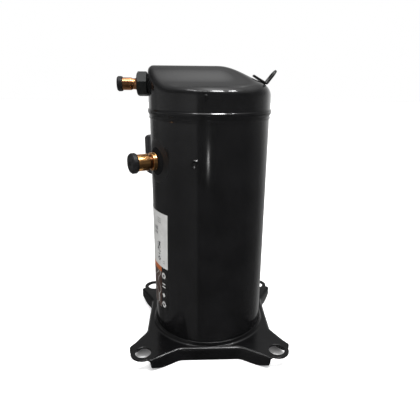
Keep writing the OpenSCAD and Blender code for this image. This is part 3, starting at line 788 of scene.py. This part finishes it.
def edge_rows(bm, path):
    """Rows of vertices that follow the outline, one row per profile point."""
    count = len(path)
    normals = []
    for i, p in enumerate(path):
        back = (p - path[i - 1]).normalized()
        ahead = (path[(i + 1) % count] - p).normalized()
        mean = (back + ahead).normalized()
        stretch = 1 / max(0.5, mean.dot(ahead))
        normals.append(Vector((-mean.y, mean.x)) * stretch)
    depths = [flange_depth(p) for p in path]
    smooth = [(depths[i - 1] + 2 * depths[i] + depths[(i + 1) % count]) / 4 for i in range(count)]
    profiles = [edge_profile(d, bend_radius(p)) for d, p in zip(smooth, path)]
    rows = []
    for k in range(len(profiles[0])):
        rows.append([bm.verts.new((*(p + n * profile[k][0]), profile[k][1]))
                     for p, n, profile in zip(path, normals, profiles)])
    return rows


def ring(bm, cx, cy, r, z, segments=64):
    return [bm.verts.new((x, y, z)) for x, y in arc(cx, cy, r, 0, 360, segments)[:-1]]


def collar_ring(bm, r, z):
    """Ring round the shell whose foot narrows where the flange's bend leaves no room."""
    fixed, widest = (1.9, 9.0) if z > 1 else (0.05, 8.0)
    verts = []
    for x, y in arc(0, 0, 1, 0, 360, 192)[:-1]:
        edge = min((FLANGE_Y - 5.5) / max(abs(y), 0.01), (FLANGE_X - 5.5) / max(abs(x), 0.01))
        spread = (min(widest, edge - SHELL_R) - fixed) / (widest - fixed)
        out = r - SHELL_R
        if out > fixed:
            out = fixed + (out - fixed) * spread
        verts.append(bm.verts.new(((SHELL_R + out) * x, (SHELL_R + out) * y, z)))
    return verts


def build_base():
    """Pressed plate: flanges, ears with eased holes, and the collar round the shell."""
    bm = bmesh.new()
    rows = edge_rows(bm, base_outline())
    skin(bm, rows, loop=False)
    tops, lows = [rows[0]], [rows[-1]]
    for sx in (-1, 1):
        for sy in (-1, 1):
            hole = [ring(bm, sx * PITCH, sy * PITCH, r, z) for r, z in
                    ((HOLE_R + 1.1, SHEET_T), (HOLE_R + 0.35, SHEET_T - 0.25), (HOLE_R, SHEET_T - 0.9),
                     (HOLE_R, 0.7), (HOLE_R + 0.3, 0.2), (HOLE_R + 0.9, 0))]
            skin(bm, hole, loop=False)
            tops.append(hole[0])
            lows.append(hole[-1])
    collar = soften([(SHELL_R + 9, SHEET_T, 0), (SHELL_R + 3.2, SHEET_T, 5), (SHELL_R + 1.9, 8.2, 1.0),
                     (SHELL_R + 0.2, 8.6, 0.6), (SHELL_R + 0.05, -2, 0.5), (SHELL_R + 3.4, -2, 2.2),
                     (SHELL_R + 5.2, 0, 2.5), (SHELL_R + 8, 0, 0)], closed=False)
    rings = [collar_ring(bm, r, z) for r, z in collar]
    skin(bm, rings, loop=False)
    fill_between(bm, tops + [rings[0]], turn(0), turn(90))
    fill_between(bm, lows + [rings[-1]], turn(0), turn(90))
    base = settle(finish_mesh(bm, "base", 50), "housing", "base_paint", "base_plate")
    even_normals(base)
    return base


# ---------- fittings ----------

def hex_path(across_corner, corner_r, turn_by):
    """Hexagon with slightly rounded corners."""
    points = [(*(turn(turn_by + 60 * i) * across_corner).xy, corner_r) for i in range(6)]
    return resample([Vector(p) for p in soften(points, steps=3)], 1.2)


def build_nut():
    """Hexagonal fitting with turned chamfers and a bored middle."""
    start, end = reach("discharge_nut", turn(180))
    path = hex_path(17.0, 0.8, 41.5)
    place = radial(180, DISCHARGE_Z)
    crown_r, slope = 13.6, math.tan(math.radians(33))
    bore = 7.05
    bm = bmesh.new()

    def row(radius_of, height_of):
        made = []
        for p in path:
            r = radius_of(p.length)
            spot = p.normalized() * r
            made.append(bm.verts.new(place @ Vector((spot.x, spot.y, height_of(r)))))
        return made

    rows = [row(lambda r: bore, lambda r: start),
            row(lambda r: r - 0.9, lambda r: start),
            row(lambda r: r, lambda r: start + 0.8),
            row(lambda r: r, lambda r: end - max(0.35, (r - crown_r) * slope)),
            row(lambda r: r - 0.25, lambda r: end - max(0.1, (r - crown_r) * slope) + 0.05),
            row(lambda r: crown_r, lambda r: end),
            row(lambda r: 9.2, lambda r: end),
            row(lambda r: 8.6, lambda r: end - 0.6),
            row(lambda r: bore + 0.3, lambda r: end - 0.6),
            row(lambda r: bore, lambda r: end - 1.0)]
    skin(bm, rows)
    return settle(finish_mesh(bm, "fitting_nut", 28), "housing", "nut_black", "discharge_nut")


def build_collar():
    """Weld fillet between the cap's flat and the nut."""
    start, end = reach("discharge_collar", turn(180))
    corners = [(7.05, start, 0), (7.05, end, 0), (10.4, end, 0.4), (11.0, end - 1.2, 1.2),
               (14.0, CAP_FLAT + 0.1, 1.4), (14.0, start, 0)]
    return turned("discharge_weld", corners, 180, DISCHARGE_Z, "housing", "cap_paint", "discharge_collar")


def build_discharge_stub():
    start, end = reach("discharge_stub", turn(180))
    bore = MOUNT["discharge_socket"]["dims"]["r_mm"]
    step = end - MOUNT["discharge_socket"]["dims"]["length_mm"]
    nut = reach("discharge_nut", turn(180))[1]
    profile = soften([(5.8, start, 0), (7.0, start, 0), (7.0, nut - 0.4, 1.5), (8.6, nut + 0.2, 0.8),
                      (7.3, nut + 2.4, 2), (7.0, nut + 5.4, 3), (8.2, nut + 8.2, 2.5), (8.2, end, 0.5),
                      (bore, end, 0.4), (bore, step, 0.4), (5.8, step - 1.2, 0.8)])
    tube = lathe("discharge_tube", profile, radial(180, DISCHARGE_Z))
    tube.data.materials.append(copper("discharge_copper", (0.66, 0.33, 0.17)))
    return settle(tube, "housing", "copper", "discharge_stub")


def build_discharge_plug():
    start, end = reach("discharge_plug", turn(180))
    r = 9.8
    corners = [(8.25, start + 0.2, 0.2), (8.9, start, 0.4), (r, start + 1.6, 0.8), (r, end - 1.6, 1.0),
               (r - 1.4, end, 1.0), (3.2, end, 0.6), (2.6, end - 0.7, 0.4), (0, end - 0.7, 0),
               (0, end - 2.5, 0), (8.25, end - 2.5, 0.4)]
    return turned("discharge_plug_cap", corners, 180, DISCHARGE_Z,
                  "discharge_cap", "plug_rubber", "discharge_plug")


def build_suction_boss():
    """Flange welded to the round shell: saddle-shaped outside, turned at its neck."""
    place = radial(SUCTION_AZ, SUCTION_Z)
    face = SHELL_R + 2.4
    rows = [(11.3, face - 6, 1), (11.3, face - 0.2, 1), (11.8, face, 1), (13.2, face, 1),
            (14.4, face - 0.3, 1), (15.6, face - 1.0, 0.9), (16.8, SHELL_R + 0.75, 0.55),
            (18.2, SHELL_R + 0.35, 0.15),
            (19.2, SHELL_R - 0.3, 0.0), (19.0, SHELL_R - 2.0, 0.0), (12.5, SHELL_R - 2.0, 0.3)]
    bm = bmesh.new()
    made = []
    segments = 96
    for r, h, turned in rows:
        verts = []
        for i in range(segments):
            a = 2 * math.pi * i / segments
            across = r * math.sin(a)
            sag = SHELL_R - math.sqrt(SHELL_R ** 2 - across ** 2)
            spot = Vector((r * math.cos(a), across, h - sag * (1 - turned)))
            verts.append(bm.verts.new(place @ spot))
        made.append(verts)
    skin(bm, made)
    boss = finish_mesh(bm, "suction_flange", 45)
    boss.data.materials.append(enamel("boss_paint", (0.004, 0.004, 0.0044), 0.55, 0.004, 0.10))
    return settle(boss, "housing", "shell_paint", "suction_boss")


def build_suction_socket():
    start = reach("suction_socket", turn(SUCTION_AZ))[0]
    profile = soften([(8.8, start, 0), (11.25, start, 0), (11.25, SHELL_R + 2.2, 0.8),
                      (12.5, SHELL_R + 2.6, 0.5),
                      (12.1, SHELL_R + 4.0, 1.0), (12.0, SHELL_R + 7.6, 0.8), (9.5, SHELL_R + 8.2, 0.5),
                      (9.5, SHELL_R + 11.5, 0), (8.8, SHELL_R + 11.5, 0)])
    socket = lathe("suction_socket_tube", profile, radial(SUCTION_AZ, SUCTION_Z))
    socket.data.materials.append(MATERIALS["copper"])
    # Second material for the neck: dark brown copper, painted shade in the groove over the brazed joint's brown.
    socket.data.materials.append(copper("groove_shade_copper", (0.20, 0.085, 0.035)))
    shade_neck_groove(socket, SUCTION_AZ, SUCTION_Z, 10.2)
    return settle(socket, "housing", "copper", "suction_socket")


def shade_neck_groove(tube, az, z, widest):
    """Gives the narrow outer faces of a radial tube its second material, a dark brown copper that paints shade
    into the groove over the brazed joint's brown.
    """
    inward = radial(az, z).inverted()
    for face in tube.data.polygons:
        spot = inward @ (face.center / MM)
        if math.hypot(spot.x, spot.y) < widest and spot.z > SHELL_R + 5:
            face.material_index = 1


def build_suction_stub():
    start, end = reach("suction_stub", turn(SUCTION_AZ))
    bore = MOUNT["suction_socket_bore"]["dims"]["r_mm"]
    step = end - MOUNT["suction_socket_bore"]["dims"]["length_mm"]
    corners = [(8.8, start + 0.02, 0), (9.5, start + 0.02, 0), (9.5, start + 0.5, 0.3),
               (11.2, start + 1.0, 0.5), (11.2, end, 0.5), (bore, end, 0.4), (bore, step, 0.4),
               (8.8, step - 1.0, 0.6)]
    return turned("suction_tube", corners, SUCTION_AZ, SUCTION_Z, "housing", "copper", "suction_stub")


def build_suction_plug():
    start, end = reach("suction_plug", turn(SUCTION_AZ))
    start += 1.4
    r = 13.6
    corners = [(11.25, start + 0.3, 0.2), (12.2, start, 0.4), (r, start + 1.8, 1.0), (r, end - 2.0, 1.2),
               (r - 1.6, end, 1.0), (3.4, end, 0.7), (2.2, end - 1.2, 0.5), (0, end - 1.2, 0),
               (0, end - 2.9, 0), (11.25, end - 2.9, 0.5)]
    return turned("suction_plug_cap", corners, SUCTION_AZ, SUCTION_Z,
                  "suction_cap", "plug_rubber", "suction_plug")


# ---------- terminal cover ----------

def rounded_box_path(half_w, half_h, r, steps=6):
    """Closed path of a rounded rectangle in (across, up)."""
    corners = [(half_w, -half_h, r), (half_w, half_h, r), (-half_w, half_h, r), (-half_w, -half_h, r)]
    path = [Vector(p) for p in soften(corners, steps=steps)]
    even = []
    for k, (a, b) in enumerate(zip(path, path[1:] + path[:1])):
        straight = k % (steps + 1) == steps
        count = 20 if straight else 1
        even += [a.lerp(b, i / count) for i in range(count)]
    return even


def build_terminal_cover():
    """Moulded cover with a stepped lid line, sunk panel and open back."""
    out = turn(BOX_AZ)
    across = turn(BOX_AZ + 90)
    front = reach("terminal_cover", out)[1]
    left, right = reach("terminal_cover", across)
    half_w = (right - left) / 2
    low, high = reach("terminal_cover", UP)
    half_h = (high - low) / 2
    mid = (high + low) / 2
    wall = MOUNT["cable_entry"]["dims"]["length_mm"]
    back_r = SHELL_R + 0.8
    bm = bmesh.new()

    def row(inset, depth, corner):
        verts = []
        for p in rounded_box_path(half_w - inset, half_h - inset, max(0.8, corner - inset)):
            saddle = math.sqrt(back_r ** 2 - min(abs(p.x), back_r - 1) ** 2)
            x = saddle if depth is None else depth
            verts.append(bm.verts.new(out * x + across * p.x + UP * (mid + p.y)))
        return verts

    corner = 5.0
    lid = front - 15
    rows = [row(wall, None, corner), row(0.25, None, corner), row(0, lid - 9, corner),
            row(0, lid - 0.5, corner), row(0.45, lid, corner), row(0.45, lid + 0.7, corner),
            row(0, lid + 1.2, corner)]
    for k in range(0, 7):
        a = math.radians(15 * k)
        rows.append(row(4.6 - 4.6 * math.cos(a), front - 4.6 + 4.6 * math.sin(a), corner + 1.5))
    rows += [row(7.6, front, corner + 3), row(8.3, front - 0.9, corner + 3), row(10, front - 1.0, corner + 3)]
    skin(bm, rows, loop=False)
    fill_between(bm, [rows[-1]], across, UP)
    inner = [rows[0], row(wall, lid, corner), row(wall, front - 5, corner),
             row(wall + 1.2, front - wall - 0.3, corner), row(wall + 3, front - wall, corner)]
    skin(bm, inner, loop=False)
    fill_between(bm, [inner[-1]], across, UP)
    cover = finish_mesh(bm, "terminal_lid", 30)
    entry = Vector(MOUNT["cable_entry"]["pos_m"]) / MM
    cut(cover, Matrix.Translation(entry - UP * 6), MOUNT["cable_entry"]["dims"]["r_mm"], 12)
    settle(cover, "box_cover", "cover_plastic", "terminal_cover")
    even_normals(cover)
    return cover


# ---------- lifting lug ----------

def build_lug():
    """Bent strip with a round end and an eye, welded on the cap's slope."""
    eye = Vector(MOUNT["lifting_eye"]["pos_m"]) / MM
    normal = Vector(MOUNT["lifting_eye"]["axis"])
    leg = Vector((-normal.z, 0, normal.x)).normalized()
    half_w, t, eye_r = 11.0, 2.6, MOUNT["lifting_eye"]["dims"]["r_mm"]
    eye_up = 11.0
    bend = eye - leg * eye_up
    foot = Vector((-math.cos(math.radians(31)), 0, math.sin(math.radians(31))))
    bm = bmesh.new()
    corners = [(-20.5, -5.0), (-20.5, 5.0), (-6, half_w)]
    outline = corners + arc(eye_up, 0, half_w, 90, -90, 28) + [(-6, -half_w)]
    flat = [bm.verts.new((x, y, 0)) for x, y in outline]
    hole = [bm.verts.new((x, y, 0)) for x, y in arc(eye_up, 0, eye_r, 0, 360, 40)[:-1]]
    fill_between(bm, [flat, hole], turn(0), turn(90))
    for k in range(-6, 7):
        geometry = bm.verts[:] + bm.edges[:] + bm.faces[:]
        bmesh.ops.bisect_plane(bm, geom=geometry, plane_co=(k * 0.7, 0, 0), plane_no=(1, 0, 0), dist=0.01)
    bmesh.ops.solidify(bm, geom=bm.faces[:], thickness=t)
    rim = [e for e in bm.edges if len(e.link_faces) == 2 and e.calc_face_angle(0) > 1.0]
    bmesh.ops.bevel(bm, geom=rim, offset=0.45, segments=2, affect="EDGES", profile=0.5)
    soft = 4.2
    mean = sum((v.co.z for v in bm.verts), 0.0) / len(bm.verts)
    across = Vector((0, 1, 0))
    leg_up = leg.cross(across)
    foot_up = (-foot).cross(across)
    for v in bm.verts:
        u, w, h = v.co.x, v.co.y, v.co.z - mean
        share = min(1.0, max(0.0, (u + soft) / (2 * soft)))
        share = share * share * (3 - 2 * share)
        on_leg = bend + leg * u + leg_up * h
        on_foot = bend - foot * u + foot_up * h
        v.co = on_foot.lerp(on_leg, share) + across * w
    lug = finish_mesh(bm, "lug", 35)
    return settle(lug, "housing", "lug_paint", "lifting_lug")


# ---------- label ----------

LABEL_AZ = (160.0, 225.0)


def label_zone(u, v):
    """Material index at a label point: u from the hidden edge, v from the bottom, both 0 to 1."""
    paper, orange, brown, black, ink = range(5)
    if u >= 1.0:
        return paper if v > 0.455 else black
    if v > 0.455:
        return ink if is_print(u, v) else paper
    if u < 0.83:
        if v > 0.40:
            return orange
        return paper if is_drawn_line(u, v) else brown
    return paper if is_glyph(u, v) else black


def is_print(u, v):
    """Small dark print on the film: ragged columns of dashes and one dense square."""
    row, column = int(v * 150), int(u * 96)
    if 0.60 < v < 0.71 and 0.71 < u < 0.81:
        return (row // 2 * 5 + column // 2 * 3 + row // 2 * column // 2) % 7 > 2
    if 0.77 < v < 0.87 and 0.60 < u < 0.73:
        return column % 4 < 2 and row % 8 > 1
    if 0.90 < v < 0.95 and 0.72 < u < 0.84 or 0.49 < v < 0.53 and 0.88 < u < 0.93:
        return row % 3 == 0 and column % 5 > 0
    diamonds = abs(u - 0.77) * 1.3 + abs((v * 16) % 1 - 0.5) * 0.16
    if 0.50 < v < 0.59:
        return 0.03 < diamonds < 0.065
    return 0.12 < u < 0.42 and 0.58 < v < 0.93 and row % 4 == 0 and (row * 3 + column) % 6 > 1


def is_drawn_line(u, v):
    """Fine pale line drawing on the brown panel."""
    waves = abs(u - 0.62 - 0.13 * math.sin(v * 19)) < 0.006
    rays = abs(u - 0.75 - 0.05 * math.cos(v * 33)) < 0.006
    return waves or rays


def is_glyph(u, v):
    """Plain shapes on the black strip: rings, diamonds and dots in turn."""
    step = v * 9.5
    du, dv = (u - 0.895) / 0.05, (step % 1 - 0.5) / 0.30
    if int(step) % 3 == 0:
        return 0.45 < math.hypot(du, dv) < 1.0
    if int(step) % 3 == 1:
        return abs(du) + abs(dv) < 0.85
    return abs(du) < 0.75 and 0.25 < abs(dv) < 0.8


def build_label():
    """Printed film wrapped round the shell, with plain color fields and generic bars."""
    low, high = reach("rating_label", UP)
    inner, outer = SHELL_R + 0.05, SHELL_R + 0.34
    columns, rows = 96, 150
    lean = 3.0
    bm = bmesh.new()

    def sheet(r):
        grid = []
        for j in range(rows + 1):
            v = j / rows
            end = LABEL_AZ[1] - lean * (1 - v)
            grid.append([bm.verts.new(turn(LABEL_AZ[0] + (end - LABEL_AZ[0]) * i / columns) * r
                                      + UP * (low + (high - low) * v)) for i in range(columns + 1)])
        return grid

    face_grid, back_grid = sheet(outer), sheet(inner)
    for j in range(rows):
        for i in range(columns):
            for grid in (face_grid, back_grid):
                low_row, high_row = grid[j], grid[j + 1]
                face = bm.faces.new((low_row[i], low_row[i + 1], high_row[i + 1], high_row[i]))
                if grid is face_grid:
                    face.material_index = label_zone((i + 0.5) / columns, (j + 0.5) / rows)

    def around(grid):
        right, left = [r[-1] for r in grid[1:]], [r[0] for r in grid[-2:0:-1]]
        return grid[0] + right + grid[-1][-2::-1] + left

    sheets = len(bm.faces)
    skin(bm, [around(face_grid), around(back_grid)], loop=False)
    bm.faces.ensure_lookup_table()
    for face in bm.faces[sheets:]:
        face.material_index = label_zone(1.0, (face.calc_center_median().z - low) / (high - low))
    label = finish_mesh(bm, "label_sheet", 60)
    for material in (MATERIALS["label"], film("label_orange", (0.42, 0.10, 0.015)),
                     film("label_brown", (0.045, 0.022, 0.015)),
                     film("label_black", (0.012, 0.012, 0.012), 0.25),
                     film("label_ink", (0.035, 0.035, 0.04))):
        label.data.materials.append(material)
    return settle(label, "housing", "label", "rating_label")


# ---------- studio ----------

CAMERA_PLACE = Vector((-0.0252, -0.5711, 0.3738))
CAMERA_PITCH = math.radians(18.50)
CAMERA_YAW = math.radians(2.73)
CAMERA_ROLL = math.radians(0.57)
CAMERA_LENS = 34.286


def build_camera():
    data = bpy.data.cameras.new("camera")
    data.lens = CAMERA_LENS
    data.sensor_width = 36
    camera = bpy.data.objects.new("camera", data)
    bpy.context.scene.collection.objects.link(camera)
    right = Vector((math.cos(CAMERA_YAW), -math.sin(CAMERA_YAW), 0))
    level = Vector((math.sin(CAMERA_YAW), math.cos(CAMERA_YAW), 0))
    ahead = level * math.cos(CAMERA_PITCH) + DOWN * math.sin(CAMERA_PITCH)
    above = right.cross(ahead)
    side = right * math.cos(CAMERA_ROLL) + above * math.sin(CAMERA_ROLL)
    top = above * math.cos(CAMERA_ROLL) - right * math.sin(CAMERA_ROLL)
    turned = Matrix((side, top, -ahead)).transposed()
    camera.matrix_world = Matrix.Translation(CAMERA_PLACE) @ turned.to_4x4()
    bpy.context.scene.camera = camera


def build_floor():
    """Pale floor, darker only where the object nearly touches it: a painted contact shadow."""
    bm = bmesh.new()
    size = 6000
    rows = [[bm.verts.new((x, y, BASE_Z - 0.2)) for x in (-size, size)] for y in (-size, size)]
    skin(bm, rows, closed=False, loop=False)
    floor = finish_mesh(bm, "floor")
    s = Surface("floor_with_painted_shadow", (0.93, 0.93, 0.93), 0.9)
    s.tint(s.noise(60, 3), (0.90, 0.90, 0.90), (0.4, 0), (0.8, 1))
    s.shader.inputs["Specular IOR Level"].default_value = 0.0
    s.shader.inputs["Emission Strength"].default_value = 0.6
    # Painted contact shadow: ambient occlusion darkens the floor's glow near the object.
    shade = s.nodes.new("ShaderNodeAmbientOcclusion")
    shade.inputs["Distance"].default_value = 0.03
    s.join(s.ramp(shade.outputs["AO"], (0.15, 0.0), (0.65, 1.0)), s.shader.inputs["Emission Color"])
    floor.data.materials.append(s.material)
    floor.visible_glossy = False


def room_level(tree, direction):
    """Brightness of the room in a direction: a band round the horizon and a ceiling."""
    split = tree.nodes.new("ShaderNodeSeparateXYZ")
    tree.links.new(direction, split.inputs["Vector"])
    x, y, z = split.outputs
    spin = add_math(tree, "ARCTAN2", y, x)
    turns = add_math(tree, "ADD", add_math(tree, "DIVIDE", spin, 2 * math.pi), 1.0)
    share = add_math(tree, "FRACT", turns, 0)
    stops = [(0, 0.17), (20, 0.30), (36, 0.60), (50, 1.0), (98, 1.0), (126, 0.60), (132, 0.22),
             (152, 0.22), (158, 0.36), (205, 0.34), (225, 0.42), (243, 0.46), (247, 0.12), (340, 0.09),
             (352, 0.11), (360, 0.17)]
    around = add_ramp(tree, share, [(a / 360, v * 0.5) for a, v in stops])
    height = add_math(tree, "ADD", add_math(tree, "MULTIPLY", z, 0.5), 0.5)
    fade = add_ramp(tree, height, [(0.0, 0.30), (0.36, 0.36), (0.43, 0.62), (0.47, 1.0), (0.53, 0.95),
                                   (0.62, 0.5), (0.72, 0.3), (0.85, 0.2), (1.0, 0.0)])
    above = add_ramp(tree, z, [(0.0, 0.0), (0.55, 0.01), (0.78, 0.12), (0.85, 0.28), (0.96, 0.6),
                               (0.99, 1.0)])
    right = add_ramp(tree, add_math(tree, "ADD", x, 0.5),
                     [(0.30, 0.5), (0.42, 0.62), (0.47, 0.9), (0.53, 1.0)])
    band = add_math(tree, "MULTIPLY", add_math(tree, "MULTIPLY", around, fade), 2.0)
    ceiling = add_math(tree, "MULTIPLY", add_math(tree, "MULTIPLY", above, right), 4.2)
    return add_math(tree, "ADD", band, ceiling)


def world_light():
    """Soft surroundings: bright behind and overhead, dim in front, and plain white to the camera."""
    world = bpy.data.worlds.new("studio")
    bpy.context.scene.world = world
    world.use_nodes = True
    tree = world.node_tree
    nodes, join = tree.nodes, tree.links.new
    dim = nodes.new("ShaderNodeBackground")
    join(room_level(tree, nodes.new("ShaderNodeTexCoord").outputs["Generated"]), dim.inputs["Color"])
    white = nodes.new("ShaderNodeBackground")
    white.inputs["Color"].default_value = (1, 1, 1, 1)
    mix = nodes.new("ShaderNodeMixShader")
    join(nodes.new("ShaderNodeLightPath").outputs["Is Camera Ray"], mix.inputs["Fac"])
    join(dim.outputs["Background"], mix.inputs[1])
    join(white.outputs["Background"], mix.inputs[2])
    join(mix.outputs["Shader"], nodes["World Output"].inputs["Surface"])


def area_light(name, az, elevation, distance, width, height, power):
    """Soft rectangular lamp aimed at the middle of the object."""
    data = bpy.data.lights.new(name, "AREA")
    data.shape = "RECTANGLE"
    data.size, data.size_y = width, height
    data.energy = power
    lamp = bpy.data.objects.new(name, data)
    bpy.context.scene.collection.objects.link(lamp)
    middle = Vector((0, 0, 0.2))
    toward = turn(az) * math.cos(math.radians(elevation)) + UP * math.sin(math.radians(elevation))
    lamp.location = middle + toward * distance
    lamp.rotation_mode = "QUATERNION"
    lamp.rotation_quaternion = (-toward).to_track_quat("-Z", "Y")
    lamp.visible_camera = False


def build_studio():
    build_camera()
    build_floor()
    world_light()
    area_light("key", 294, 66, 1.5, 0.40, 0.14, 11)
    area_light("second", 340, 62, 1.5, 0.28, 0.12, 6)
    area_light("left", 214, 66, 1.5, 0.36, 0.12, 1.6)
    area_light("wide", 268, 63, 1.5, 1.10, 0.08, 3.5)
    area_light("strip", 266.2, -6.8, 1.1, 0.016, 0.05, 0.11)
    bpy.context.scene.view_settings.view_transform = "Standard"


dress_cad_nodes()
build_studio()
for build in (build_shell, build_cap, build_sump, build_base, build_nut, build_collar,
              build_discharge_stub, build_discharge_plug, build_suction_boss, build_suction_socket,
              build_suction_stub, build_suction_plug, build_terminal_cover, build_lug, build_label):
    build()
